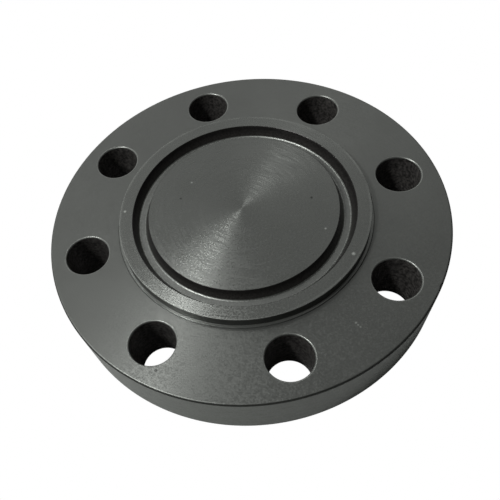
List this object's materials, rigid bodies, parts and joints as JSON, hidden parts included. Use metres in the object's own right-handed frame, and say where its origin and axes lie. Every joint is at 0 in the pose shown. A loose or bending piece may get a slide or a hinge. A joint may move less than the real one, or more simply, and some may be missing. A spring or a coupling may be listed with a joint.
{
  "type": "ring-joint blind flange",
  "caption": "Thick round steel disc with a raised, grooved gasket face and a circle of stud holes, bolted over the end of a high-pressure pipe or valve to close it off.",
  "frame": {"origin": "centre of the back face, on the flange axis", "axes": "+Z along the flange axis, from the flat back face towards the grooved gasket face; X and Y are the flange's centrelines, which the stud holes straddle"},
  "size_m": [0.29, 0.29, 0.0524],
  "materials": {
    "dark_steel": "satin"
  },
  "bodies": {
    "root": {"flange_body": "dark_steel"}
  },
  "joints": []
}
